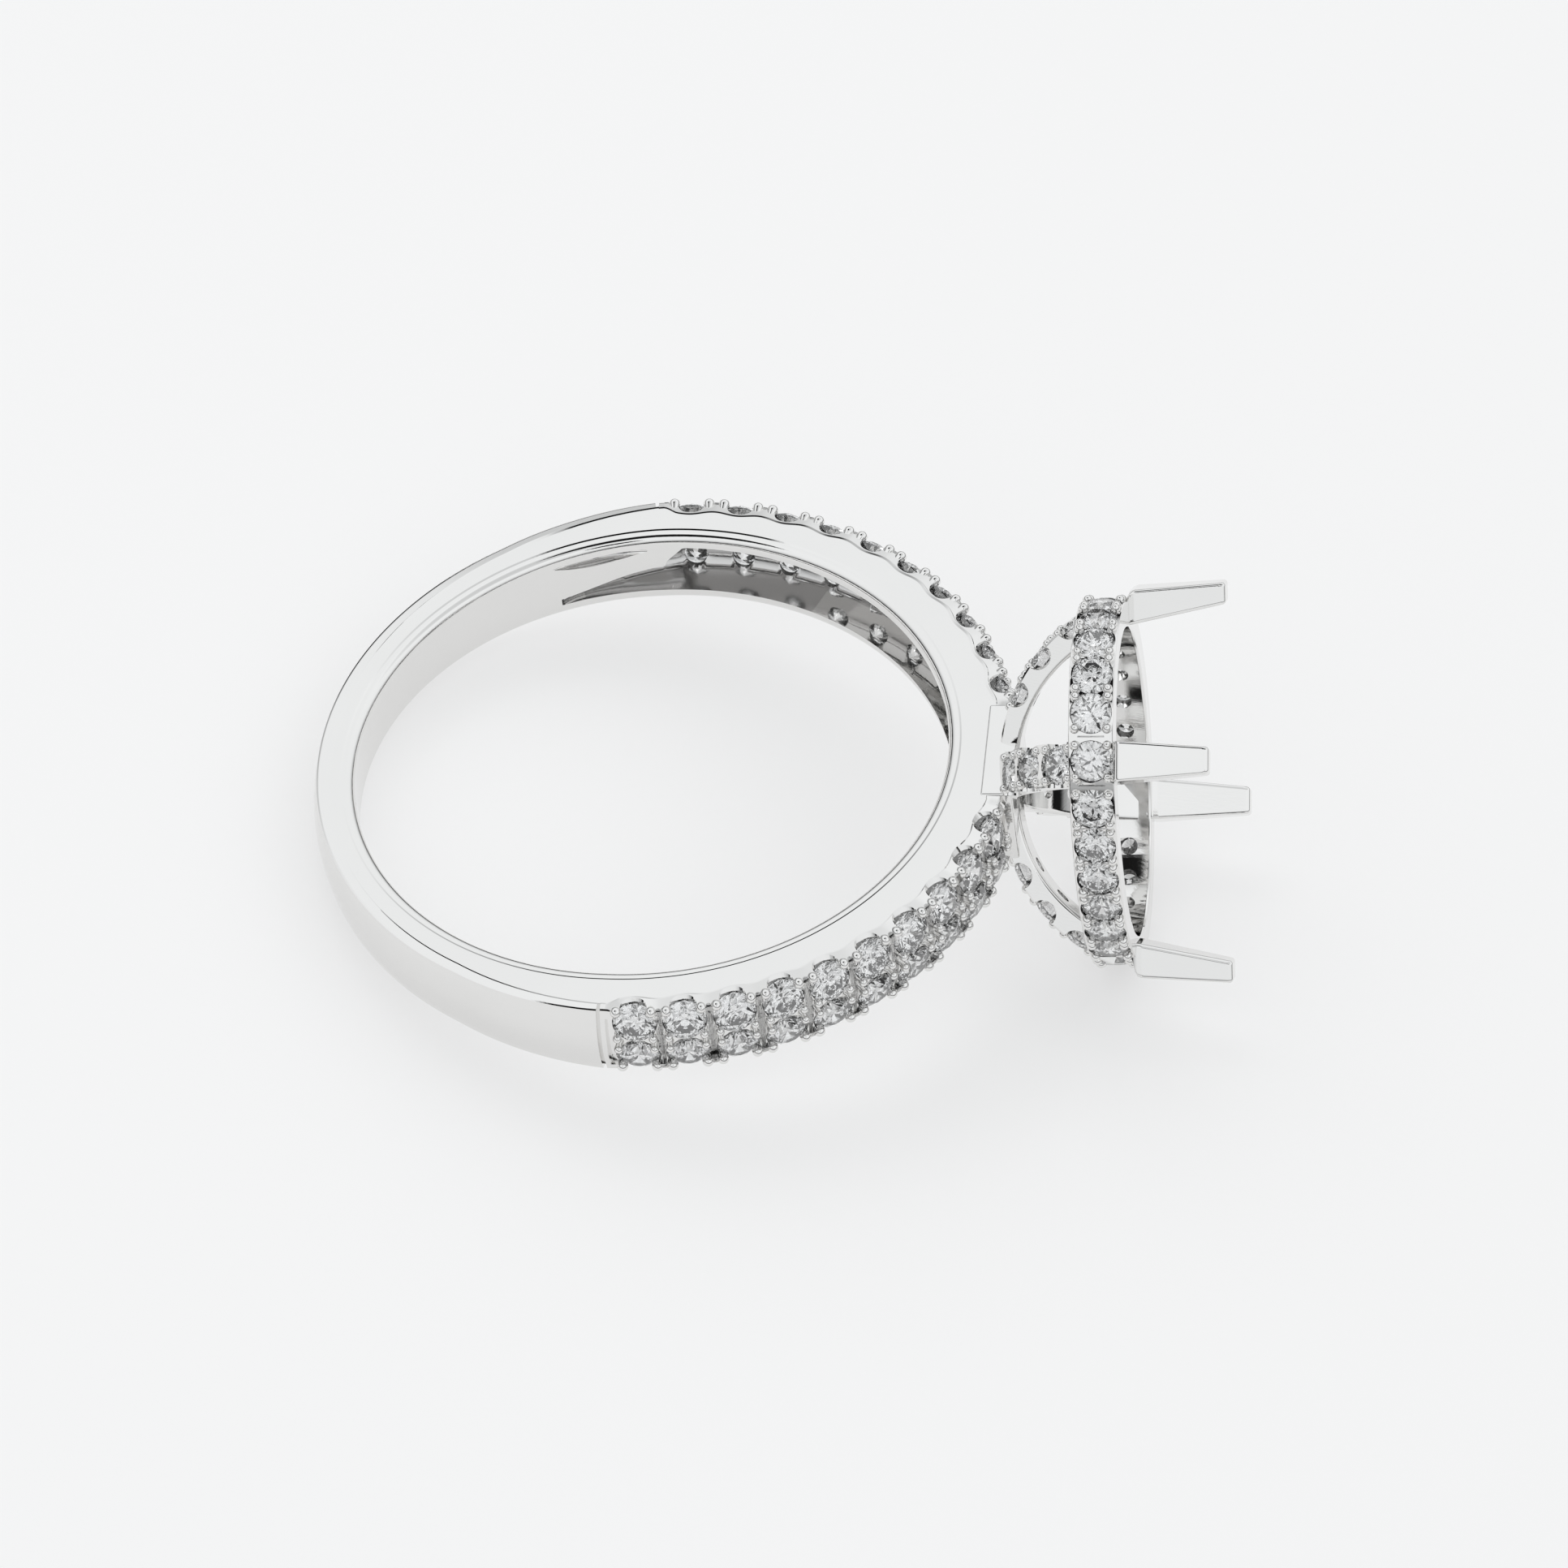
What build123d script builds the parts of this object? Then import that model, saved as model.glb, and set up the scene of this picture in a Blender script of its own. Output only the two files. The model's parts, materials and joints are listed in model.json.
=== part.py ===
"""A semi mount ring setting: a polished white gold ring, ready for an oval centre stone.

The ring is drawn in its own frame: the origin is the middle of the finger hole, z is the finger's
axis and x points to the head. It is then laid on its side as it rests by itself on a flat surface,
with the top of that surface at z = 0.
"""
import os
from math import atan2, cos, degrees, hypot, pi, radians, sin, sqrt

from build123d import *

# Shank
FINGER_BORE = 17.0  # inside diameter
SHANK_BACK = 1.23  # thickness opposite the head
SHANK_TOP = 1.88  # thickness under the head
BACK_WIDTH = 1.96  # width opposite the head
TOP_WIDTH = 2.62  # width under the head
WAIST_SHARE = 0.96  # width where the shoulders end, of the width under the head
DOME = 0.28  # how far the outside bulges over its edges, at the full width
INNER_ROUND = 0.25  # radius of the inner edges

# Shoulders: two rows of stones on each side of the head
SHOULDER_RUN = 12.96  # from a row's first stone to its last, along the outside of the shank
SHOULDER_START = 16.1  # angle from the head to the first stone, degrees
STONE_SHARE = 0.458  # diameter of a stone, of the width of the band
PITCH_SHARE = 1.20  # step from stone to stone along a row, in diameters
ROW_SHARE = 0.2443  # from the middle of the band to the widest part of a row's stones, of the width
SHOULDER_MARGIN = 0.95  # from the middle of a row's last stone to the end of the raised surface
ROW_TILT = 14.0  # how far a row leans to its side, degrees
SHOULDER_RISE = 0.23  # the shoulders stand this much out of the plain shank's circle
SHOULDER_FOOT = 9.0  # angle from the head to the near end of that rise, degrees
SWELL_START = 124.0  # angle from the head at which the plain shank swells up to the shoulders
SWELL_LIP = 0.03  # the end of the swell stands this much out of the shoulders' surface
SCALLOP = 0.90  # width of the cut beside a stone
SCALLOP_DEPTH = 0.78  # its depth below the crown of the surface
RAIL = 0.42  # side wall of the recess inside a shoulder
RECESS_DEPTH = 0.95  # depth of that recess
RECESS_START = 13.0  # angle from the head to its near end, degrees
RECESS_END = 98.0  # angle from the head to its far end, degrees

# Head
BASE_DROP = 0.80  # the head's base reaches this far down the side of the shank
BASE_RISE = 0.11  # and this far above it
BASE_PROUD = 0.03  # and stands this much out of the side faces
BASE_SPAN = 3.56  # its length along the band
HALO_HEIGHT = 2.71  # from the top of the shank to the middle of the halo
HALO_LENGTH = 11.80  # outside length of the halo, along the finger
HALO_WIDTH = 9.14  # outside width of the halo, across the finger
HALO_BAND = 1.30  # width of the halo's band
HALO_WALL = 0.88  # its thickness
HALO_STONE = 1.00  # diameter of a stone
HALO_END_COUNT = 5  # stones between two arms over an end of the oval
HALO_SIDE_COUNT = 6  # stones between two arms over a side of the oval
CROSSING_SHARE = 1.20  # the step beside an arm, as a share of the step between other stones
ARM_WIDTH = 1.25
ARM_WALL = 0.87  # thickness of an arm
ARM_STONE = 1.10  # diameter of a stone
ARM_COUNT = 3  # stones on an arm below the halo
ARM_PITCH = 1.29
ARM_NOTCH = 0.84  # width of the window that shows an arm's stone from the side
# The outer and inner curve of an arm pass these points: shares of the way out to the halo's outside,
# and shares of the way up from the foot of the base to the middle of the halo
ARM_OUTER_SHARES = ((0.13, 0.09), (0.70, 0.40), (1.0, 1.0))
ARM_INNER_SHARES = ((0.06, 0.26), (0.52, 0.465), (0.834, 1.08))

# Prongs
PRONG_HEIGHT = 3.40  # from the middle of the halo to the tip
PRONG_ROOT_WIDTH = 1.17
PRONG_ROOT_WALL = 1.00
PRONG_TIP_WIDTH = 0.79
PRONG_TIP_WALL = 0.65
PRONG_PROUD = 0.30  # a prong's root stands this far out of the halo
PRONG_LEAN = 0.18  # its tip stands out this much further
PRONG_EDGE = 0.10  # chamfer of its edges at the tip

# Stones
FACETS = 8  # facets round a crown, and round a pavilion
TABLE_SHARE = 0.57  # of the stone's diameter
CROWN_SHARE = 0.15
GIRDLE_SHARE = 0.035
PAVILION_SHARE = 0.42
STONE_SINK = 0.05  # a stone's table lies this far below the metal round it
SEAT_GAP = 0.03  # clear space between a stone and its seat
DRILL = 0.50  # diameter of the hole below a stone

# Sizes that follow from those above
BORE_RADIUS = FINGER_BORE / 2
OUTER_RADIUS = BORE_RADIUS + (SHANK_BACK + SHANK_TOP) / 2
OUTER_SHIFT = (SHANK_TOP - SHANK_BACK) / 2
BACK_X = -BORE_RADIUS - SHANK_BACK
TOP_X = BORE_RADIUS + SHANK_TOP
BASE_X = TOP_X - BASE_DROP
HALO_X = TOP_X + HALO_HEIGHT
CROSSING_Y = HALO_WIDTH / 2 * sqrt(0.5)
CROSSING_Z = HALO_LENGTH / 2 * sqrt(0.5)
CROSSING_RADIUS = hypot(CROSSING_Y, CROSSING_Z)
ROW_OFFSET = TOP_WIDTH * ROW_SHARE
SHOULDER_STONE = TOP_WIDTH * STONE_SHARE
SHOULDER_COUNT = 1 + round(SHOULDER_RUN / (SHOULDER_STONE * PITCH_SHARE))  # stones in a row
SHOULDER_PITCH = SHOULDER_RUN / (SHOULDER_COUNT - 1)
SHOULDER_STEP = degrees(SHOULDER_PITCH / OUTER_RADIUS)
SHOULDER_LAST = SHOULDER_START + (SHOULDER_COUNT - 1) * SHOULDER_STEP
SHOULDER_END = SHOULDER_LAST + degrees(SHOULDER_MARGIN / OUTER_RADIUS)
SHOULDER_RADIUS = OUTER_RADIUS + SHOULDER_RISE
WAIST_X = OUTER_SHIFT + OUTER_RADIUS * cos(radians(SHOULDER_END))
WAIST_WIDTH = TOP_WIDTH * WAIST_SHARE
SPARE = 1.0  # cutters reach this far past the metal


def outline(*edges):
    """A face inside a closed row of edges."""
    return Face(Wire(edges))


def dome_drop(height):
    """How far the outside of the band lies below its crown, at a height over the middle."""
    half = TOP_WIDTH / 2
    radius = (half**2 + DOME**2) / (2 * DOME)
    return radius - sqrt(radius**2 - height**2)


def half_width(x):
    """Half the band's width: it widens from the back to the shoulders, and less from there on."""
    if x < WAIST_X:
        share = (x - BACK_X) / (WAIST_X - BACK_X)
        return (BACK_WIDTH + share * (WAIST_WIDTH - BACK_WIDTH)) / 2
    share = (x - WAIST_X) / (TOP_X - WAIST_X)
    return (WAIST_WIDTH + share * (TOP_WIDTH - WAIST_WIDTH)) / 2


def domed_line(radius):
    """The outside of the band in the XZ plane, a little wider than the band is."""
    half = TOP_WIDTH / 2 + SPARE / 4
    edge = radius - dome_drop(half)
    return ThreePointArc((edge, 0, -half), (radius, 0, 0), (edge, 0, half))


def domed_disc(radius):
    """A solid disc with the band's domed outside."""
    rim = domed_line(radius)
    flat = Polyline(rim @ 1, (0, 0, (rim @ 1).Z), (0, 0, (rim @ 0).Z), rim @ 0)
    return Pos(OUTER_SHIFT, 0, 0) * revolve(outline(rim, *flat.edges()), Axis.Z)


def wedge(start, end):
    """The space between two angles from the head, about the middle of the band's outside."""
    reach = 2 * OUTER_RADIUS
    angles = [radians(angle) for angle in (start, (start + end) / 2, end)]
    corners = [(reach * cos(angle), reach * sin(angle)) for angle in angles]
    face = make_face(Polyline((0, 0), *corners, close=True))
    return Pos(OUTER_SHIFT, 0, 0) * extrude(face, TOP_WIDTH, both=True)


def raised():
    """What stands out of the plain circle on the far side: the shoulder, and the swell up to it."""
    shoulder = domed_disc(SHOULDER_RADIUS) & wedge(SHOULDER_FOOT, SHOULDER_END)
    towards = SWELL_START - 90
    shift = (SHOULDER_RISE + SWELL_LIP) / cos(radians(SHOULDER_END - towards))
    way = Pos(shift * cos(radians(towards)), shift * sin(radians(towards)), 0)
    swell = (way * domed_disc(OUTER_RADIUS)) & wedge(SHOULDER_END, SWELL_START + SHOULDER_FOOT)
    return [shoulder, swell]


def shank():
    """The band without its recesses: domed outside, cut to its tapered width and bored out."""
    blank = domed_disc(OUTER_RADIUS) + both_sides(raised())
    upper = [(x, half_width(x)) for x in (BACK_X, WAIST_X, TOP_X)]
    lower = [(x, -height) for x, height in reversed(upper)]
    sides = Polyline(*upper, *lower, close=True)
    taper = extrude(Plane.XZ * make_face(sides), SHOULDER_RADIUS + SPARE, both=True)
    band = (blank & taper) - Cylinder(BORE_RADIUS, TOP_WIDTH + SPARE)
    inner = [e for e in band.edges() if abs(hypot(*tuple(e @ 0.25)[:2]) - BORE_RADIUS) < 0.01]
    return fillet(inner, INNER_ROUND)


def band_sector(profile, start, end):
    """A profile drawn in the XZ plane, turned about the finger's axis from one angle to another."""
    return revolve(Rot(0, 0, start) * profile, Axis.Z, end - start)


def recess():
    """The hollow inside the far shoulder."""
    width = TOP_WIDTH - 2 * RAIL
    channel = Pos(BORE_RADIUS, 0, 0) * (Plane.XZ * Rectangle(2 * RECESS_DEPTH, width))
    return band_sector(channel, RECESS_START, RECESS_END)


def arm_curves():
    """The outer and inner curve of an arm in its own plane: x is the way out, y the height."""

    def point(share_out, share_up):
        return (share_out * CROSSING_RADIUS, BASE_X + share_up * (HALO_X - BASE_X))

    outer = ThreePointArc(*(point(*shares) for shares in ARM_OUTER_SHARES))
    inner = ThreePointArc(*(point(*shares) for shares in ARM_INNER_SHARES))
    return outer, inner


def arm_plane(side_y, side_z):
    """The plane of one arm: its x runs out from the head's axis, its y up that axis."""
    out = Vector(0, side_y * CROSSING_Y, side_z * CROSSING_Z).normalized()
    up = Vector(1, 0, 0)
    return Plane(origin=(0, 0, 0), x_dir=out, z_dir=out.cross(up))


def prong_section(width, wall, outside, height):
    """A prong's cross section at a height, with its outer side at a distance from the axis."""
    return Pos(outside - wall / 2, height, 0) * (Plane.XZ * Rectangle(wall, width))


def arm_and_prong(plane):
    """One arm, from the base to above the halo, with the prong that stands on it."""
    outer, inner = arm_curves()
    top = HALO_X + HALO_BAND / 2
    rise = Polyline(outer @ 1, (CROSSING_RADIUS, top), ((inner @ 1).X, top), inner @ 1)
    foot = Line(inner @ 0, outer @ 0)
    arm = extrude(outline(outer, *rise.edges(), inner, foot), ARM_WIDTH / 2, both=True)
    root_out = CROSSING_RADIUS + PRONG_PROUD
    root = prong_section(PRONG_ROOT_WIDTH, PRONG_ROOT_WALL, root_out, top - PRONG_EDGE)
    tip_out = root_out + PRONG_LEAN
    tip = prong_section(PRONG_TIP_WIDTH, PRONG_TIP_WALL, tip_out, HALO_X + PRONG_HEIGHT)
    prong = loft([root, tip])
    edges = prong.faces().sort_by(Axis.Y)[-1].edges()
    prong = chamfer(edges, PRONG_EDGE)
    return plane * arm + plane * prong


def halo_band():
    """The oval band, a wall of even thickness."""
    outside = Plane.YZ * Ellipse(HALO_WIDTH / 2, HALO_LENGTH / 2)
    inside = Plane.YZ * Ellipse(HALO_WIDTH / 2 - HALO_WALL, HALO_LENGTH / 2 - HALO_WALL)
    return Pos(HALO_X, 0, 0) * extrude(outside - inside, HALO_BAND / 2, both=True)


def base():
    """The block on top of the shank that the four arms spring from."""
    height = BASE_DROP + BASE_RISE
    block = Box(height, BASE_SPAN, TOP_WIDTH + 2 * BASE_PROUD)
    return Pos(BASE_X + height / 2, 0, 0) * block


def shoulder_seats():
    """Planes of the far shoulder's stones: on the metal's surface, z outwards, x along the row."""
    girdle_depth = STONE_SINK + (CROWN_SHARE + GIRDLE_SHARE) * SHOULDER_STONE
    height = ROW_OFFSET + girdle_depth * sin(radians(ROW_TILT))
    surface = SHOULDER_RADIUS - dome_drop(height)
    seats = []
    for row in (1, -1):
        seat = Pos(surface, 0, row * height) * Rot(0, 90 - row * ROW_TILT, 0)
        for index in range(SHOULDER_COUNT):
            turn = Pos(OUTER_SHIFT, 0, 0) * Rot(0, 0, SHOULDER_START + index * SHOULDER_STEP)
            seats.append(turn * seat)
    return seats


def arm_seats(plane):
    """Places of the stones on one arm, from the halo down."""
    outer, inner = arm_curves()
    places = []
    for index in range(1, ARM_COUNT + 1):
        share = 1 - index * ARM_PITCH / outer.length
        along = outer % share
        out = plane.x_dir * along.Y - plane.y_dir * along.X
        spot = plane.from_local_coords(outer @ share)
        places.append(Plane(origin=spot, x_dir=plane.z_dir, z_dir=out).location)
    return places


def halo_seats():
    """Places of the stones round the halo: one at each arm, and a row over each end and side."""
    places = []
    gaps = ((HALO_SIDE_COUNT, 0), (HALO_END_COUNT, 90), (HALO_SIDE_COUNT, 180), (HALO_END_COUNT, 270))
    for count, middle in gaps:
        arc = EllipticalCenterArc(
            (0, 0), HALO_WIDTH / 2, HALO_LENGTH / 2, middle - 45, arc_size=90
        )
        total = count - 1 + 2 * CROSSING_SHARE
        shares = [0] + [(CROSSING_SHARE + index) / total for index in range(count)]
        for share in shares:
            along = arc % share
            out = Vector(0, along.Y, -along.X)
            spot = Vector(HALO_X, (arc @ share).X, (arc @ share).Y)
            places.append(Plane(origin=spot, x_dir=(1, 0, 0), z_dir=out).location)
    return places


def cut_stone(diameter):
    """A brilliant cut stone with its table facing up: the top of the metal is at z = 0."""
    radius = diameter / 2
    table = -STONE_SINK
    girdle_top = table - CROWN_SHARE * diameter
    girdle_low = girdle_top - GIRDLE_SHARE * diameter
    culet = (0, 0, girdle_low - PAVILION_SHARE * diameter)

    def ring(reach, height, shift):
        angles = [2 * pi * (index + shift) / FACETS for index in range(FACETS)]
        return [(reach * cos(a), reach * sin(a), height) for a in angles]

    top = ring(radius * TABLE_SHARE, table, 0.5)
    upper = ring(radius, girdle_top, 0)
    lower = ring(radius, girdle_low, 0)
    facets = [top]
    for i in range(FACETS):
        j = (i + 1) % FACETS
        facets.append([upper[i], upper[j], top[i]])
        facets.append([upper[j], top[j], top[i]])
        facets.append([lower[i], lower[j], upper[j], upper[i]])
        facets.append([lower[j], lower[i], culet])
    faces = [Face(Wire(Polyline(*points, close=True).edges())) for points in facets]
    return Solid(Shell(faces))


def seat_cutter(diameter, depth):
    """What a stone's seat takes out of the metal: its crown, pavilion and the hole below."""
    radius = diameter / 2 + SEAT_GAP
    slope = PAVILION_SHARE * diameter / (diameter / 2)
    girdle = -STONE_SINK - (CROWN_SHARE + GIRDLE_SHARE) * diameter - SEAT_GAP
    cone_low = girdle - slope * (radius - DRILL / 2)
    profile = Polyline(
        (0, 0, SPARE),
        (radius, 0, SPARE),
        (radius, 0, girdle),
        (DRILL / 2, 0, cone_low),
        (DRILL / 2, 0, -depth),
        (0, 0, -depth),
        close=True,
    )
    return revolve(make_face(profile), Axis.Z)


def scallops():
    """Cuts in the far shoulder's side faces that show each stone from the side."""
    radius = SCALLOP / 2
    inner = ROW_OFFSET + SHOULDER_STONE / 4
    outer = TOP_WIDTH / 2 + SPARE / 4
    depth = SHOULDER_RADIUS - SCALLOP_DEPTH + radius
    burr = Pos(depth, 0, (inner + outer) / 2) * Cylinder(radius, outer - inner)
    cuts = []
    for index in range(SHOULDER_COUNT):
        turned = Rot(0, 0, SHOULDER_START + index * SHOULDER_STEP) * burr
        cuts += [Pos(OUTER_SHIFT, 0, 0) * turned, Pos(OUTER_SHIFT, 0, 0) * mirror(turned, Plane.XY)]
    return cuts


def arm_notches(places):
    """Windows in an arm's sides, one on each side of each stone."""
    radius = ARM_NOTCH / 2
    inner = ARM_STONE / 4
    length = ARM_WIDTH / 2 + SPARE / 4 - inner
    burr = Rot(0, 90, 0) * Cylinder(radius, length)
    cuts = []
    for place in places:
        for side in (1, -1):
            cuts.append(place * Pos(side * (inner + length / 2), 0, -ARM_STONE / 10) * burr)
    return cuts


def both_sides(shapes):
    """The shapes of the far half of the ring, and the same for the near half."""
    return shapes + [mirror(shape, Plane.XZ) for shape in shapes]


def ring_mount(planes):
    """The cast and soldered metal with every seat cut in it."""
    metal = shank() - both_sides([recess()])
    metal += [base(), halo_band(), *(arm_and_prong(plane) for plane in planes)]
    shoulder_seat = seat_cutter(SHOULDER_STONE, SHANK_TOP)
    cuts = scallops() + [place * shoulder_seat for place in shoulder_seats()]
    cuts = both_sides(cuts)
    halo_seat = seat_cutter(HALO_STONE, HALO_WALL + SPARE / 4)
    cuts += [place * halo_seat for place in halo_seats()]
    arm_seat = seat_cutter(ARM_STONE, ARM_WALL + SPARE / 4)
    for plane in planes:
        places = arm_seats(plane)
        cuts += arm_notches(places)
        cuts += [place * arm_seat for place in places]
    return metal - cuts


def lying(shapes):
    """The shapes laid on their side: the halo's end and the back of the shank touch the surface."""
    heel_x = OUTER_SHIFT - OUTER_RADIUS + dome_drop(half_width(BACK_X))
    toe_x = HALO_X - HALO_BAND / 2
    tilt = degrees(atan2(HALO_LENGTH / 2 - half_width(heel_x), toe_x - heel_x))
    turned = {name: Rot(0, -tilt, 0) * shape for name, shape in shapes.items()}
    box = turned["ring_mount"].bounding_box()
    place = Pos(-box.center().X, 0, -box.min.Z)
    return {name: place * shape for name, shape in turned.items()}


def main():
    planes = [arm_plane(side_y, side_z) for side_y in (1, -1) for side_z in (1, -1)]
    shoulder_stone = cut_stone(SHOULDER_STONE)
    halo_stone = cut_stone(HALO_STONE)
    arm_stone = cut_stone(ARM_STONE)
    far = [place * shoulder_stone for place in shoulder_seats()]
    nodes = {
        "ring_mount": ring_mount(planes),
        "far_shoulder_stones": Compound(far),
        "near_shoulder_stones": Compound([mirror(stone, Plane.XZ) for stone in far]),
        "arm_stones": Compound(
            [place * arm_stone for plane in planes for place in arm_seats(plane)]
        ),
        "halo_stones": Compound([place * halo_stone for place in halo_seats()]),
    }
    os.makedirs("parts", exist_ok=True)
    for name, shape in lying(nodes).items():
        export_step(shape, f"parts/{name}.step")


if __name__ == "__main__":
    main()
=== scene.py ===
"""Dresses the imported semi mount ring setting: polished white gold and rows of small cut stones.

Every shape is drawn in the ring's own frame, in millimetres: the origin is the middle of the finger
hole, z is the finger's axis and x points to the head. RING_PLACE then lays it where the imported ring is.
"""
import json
from math import atan2, cos, degrees, hypot, pi, radians, sin, sqrt

import bmesh
import bpy
from bpy.props import FloatProperty, FloatVectorProperty, PointerProperty
from mathutils import Matrix, Vector


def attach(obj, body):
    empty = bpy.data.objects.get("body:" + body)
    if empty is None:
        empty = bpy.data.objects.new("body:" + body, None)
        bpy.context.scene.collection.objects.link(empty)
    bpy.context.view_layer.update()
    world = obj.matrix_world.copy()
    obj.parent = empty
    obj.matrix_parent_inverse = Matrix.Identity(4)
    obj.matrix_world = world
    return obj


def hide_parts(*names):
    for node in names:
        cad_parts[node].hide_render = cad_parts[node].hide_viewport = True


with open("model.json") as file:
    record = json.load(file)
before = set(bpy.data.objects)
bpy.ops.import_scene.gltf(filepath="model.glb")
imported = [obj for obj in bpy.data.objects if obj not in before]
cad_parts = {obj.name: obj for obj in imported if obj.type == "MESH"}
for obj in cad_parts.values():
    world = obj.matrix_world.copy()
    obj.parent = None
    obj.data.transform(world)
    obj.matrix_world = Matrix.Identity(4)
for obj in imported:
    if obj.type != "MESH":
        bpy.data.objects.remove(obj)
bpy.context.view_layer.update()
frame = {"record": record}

bl_info = {
    "name": "Semi mount ring setting",
    "version": (1, 0, 0),
    "blender": (4, 5, 0),
    "location": "View3D > Sidebar > Ring",
    "description": "Builds a white gold ring with stone set shoulders, a halo and four open prongs",
    "category": "Add Mesh",
}

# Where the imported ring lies: its finger hole is a mount of the record
BORE = next(m for m in frame["record"]["mounts"] if m["name"] == "finger_bore")
LEAN = atan2(-BORE["axis"][0], BORE["axis"][2])
RING_PLACE = (
    Matrix.Translation(BORE["pos_m"]) @ Matrix.Rotation(-LEAN, 4, "Y") @ Matrix.Scale(0.001, 4)
)

# Shank, in millimetres
BORE_RADIUS = BORE["dims"]["r_mm"]
SHANK_BACK = 1.23
SHANK_TOP = 1.88
BACK_WIDTH = 1.96
TOP_WIDTH = 2.62
WAIST_SHARE = 0.96
DOME = 0.28
INNER_ROUND = 0.25
OUTER_ROUND = 0.05
EDGE_LINE = 0.022
OUTER_RADIUS = BORE_RADIUS + (SHANK_BACK + SHANK_TOP) / 2
OUTER_SHIFT = (SHANK_TOP - SHANK_BACK) / 2
BACK_X = -BORE_RADIUS - SHANK_BACK
TOP_X = BORE_RADIUS + SHANK_TOP

# Shoulders
SHOULDER_COUNT = 10
SHOULDER_START = 16.1
SHOULDER_STEP = degrees(1.44 / OUTER_RADIUS)
SHOULDER_RISE = 0.23
SHOULDER_FOOT = 9.0
SWELL_START = 124.0
SWELL_LIP = 0.03
ROW_OFFSET = 0.64
ROW_TILT = 14.0
BED_DROP = 0.20
RIB_START = 4.55
RIB_END = 5.40
GROOVE_END = 5.95
GROOVE_DEPTH = 0.24
BAND_STEP = 0.036
BAND_SLOPE = 0.20
BAND_WIDTH = 0.34
WAVE_RADIUS = 9.47
WAVE_HEIGHT = 0.05
ARCH_WIDTH = 0.84
ARCH_CORNER = 0.36
ARCH_RADIUS = 9.56
ARCH_START = 0.85
ARCH_END = 1.65
ARCH_FLARE = 0.38
SLOT_WIDTH = 0.155
SLOT_RADIUS = 9.86
NOTCH_WIDTH = 0.24
NOTCH_RADIUS = 9.96
RECESS_RADIUS = 9.70
RECESS_CORNER = 0.40
RAIL = 0.41
HOLLOW_START = 12.0
HOLLOW_END = 6.0
POCKET_START = 1.5
POCKET_RUN = 24.0
POCKET_CORNER = 0.34
RUNOUT_START = 4.5
RUNOUT_END = 26.5
RUNOUT_RUN = 22.0
RUNOUT_CORNER = 0.15
CULET_HOLE = 0.66
LANES = (
    1.0, 0.93, 0.82, 0.775, 0.6, 0.4, 0.2, 0.1, 0.0,
    -0.1, -0.2, -0.4, -0.6, -0.775, -0.82, -0.93, -1.0,
)
BED_LANE = 0.79
EDGE_DEPTH = 0.235
WAVE_TOP = 0.135
WAVE_STEPS = ((0.115, 1.0), (0.095, 0.87), (0.020, 0.11), (0.0, 0.0), (-0.02, 0.0))
INNER_STEPS = ((0.150, 0.0), (0.135, 0.003), (0.090, 0.019), (0.075, EDGE_LINE))
CULET_DEPTH = 1.1
SLOT_REACH = 1.02
NOTCH_REACH = 2.0
NOTCH_POINT = 1.7
ARCH_REACH = 0.8

# Head
BASE_DROP = 0.80
BASE_RISE = 0.11
BASE_PROUD = 0.03
BASE_SPAN = 3.56
BASE_X = TOP_X - BASE_DROP
HALO_X = TOP_X + 2.71
HALO_LENGTH = 11.80
HALO_WIDTH = 9.14
HALO_BAND = 1.30
HALO_WALL = 0.88
HALO_END_COUNT = 5
HALO_SIDE_COUNT = 6
HALO_BED = 0.12
ARM_BED = 0.08
CROSSING_SHARE = 1.20
CROSSING_Y = HALO_WIDTH / 2 * sqrt(0.5)
CROSSING_Z = HALO_LENGTH / 2 * sqrt(0.5)
CROSSING_RADIUS = hypot(CROSSING_Y, CROSSING_Z)
ARM_WIDTH = 1.25
ARM_COUNT = 3
ARM_PITCH = 1.29
ARM_OUTER = ((0.13, 0.09), (0.70, 0.40), (1.0, 1.0))
ARM_INNER = ((0.06, 0.26), (0.52, 0.465), (0.834, 1.08))
ARM_EDGE = 0.13
PRONG_OUT = 0.30
PRONG_ROUND = 0.11

# Stones: shares of a stone's diameter, all round brilliants
CROWN_SHARE = 0.15
GIRDLE_SHARE = 0.03
PAVILION_SHARE = 0.42
TABLE_SHARE = 0.56
STONE_SINK = 0.03

# Grains: across the row, along it, height over the seat, stem, and share of the panel's bead size
OUTER_BEAD = (-0.43, 0.50, -0.09, 0.38, 1.2)
INNER_BEAD = (0.47, 0.51, -0.12, 0.34, 0.95)
ARM_BEAD = (0.44, 0.43, -0.12, 0.28, 1.05)
HALO_BEAD = (0.46, 0.46, -0.10, 0.30, 1.05)

# The photograph's view, in the ring's frame: angles in degrees, lengths in millimetres
VIEW_TURN = 10.04
VIEW_HEIGHT = 45.79
VIEW_ROLL = -7.44
VIEW_DISTANCE = 1000.0
VIEW_SIDE = 3.685
VIEW_DROP = 0.021
VIEW_WIDTH = 44.64

# Studio walls: the sine of the height, and the brightness there
WALL_TONES = (
    (0.0, 0.01), (0.13, 0.01), (0.20, 0.45), (0.36, 0.76), (0.45, 0.95), (0.60, 1.02), (0.85, 1.06),
    (0.94, 0.80), (1.0, 0.74),
)
WALL_TINT = (0.975, 0.99, 1.0)

# Dark cards: compass angle from +y towards +x, height, radius and soft edge in degrees, and tone
DARK_CARDS = ((183.0, 46.5, 7.0, 1.5, 0.02), (-98.0, 70.0, 15.0, 2.0, 0.01))

# Lamp and floor, in metres
LAMP_PLACE = (-0.12, 0.10, 0.28)
LAMP_SIZE = (0.20, 0.14)
LAMP_POWER = 0.10
FLOOR_GLOW = 0.52


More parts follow.
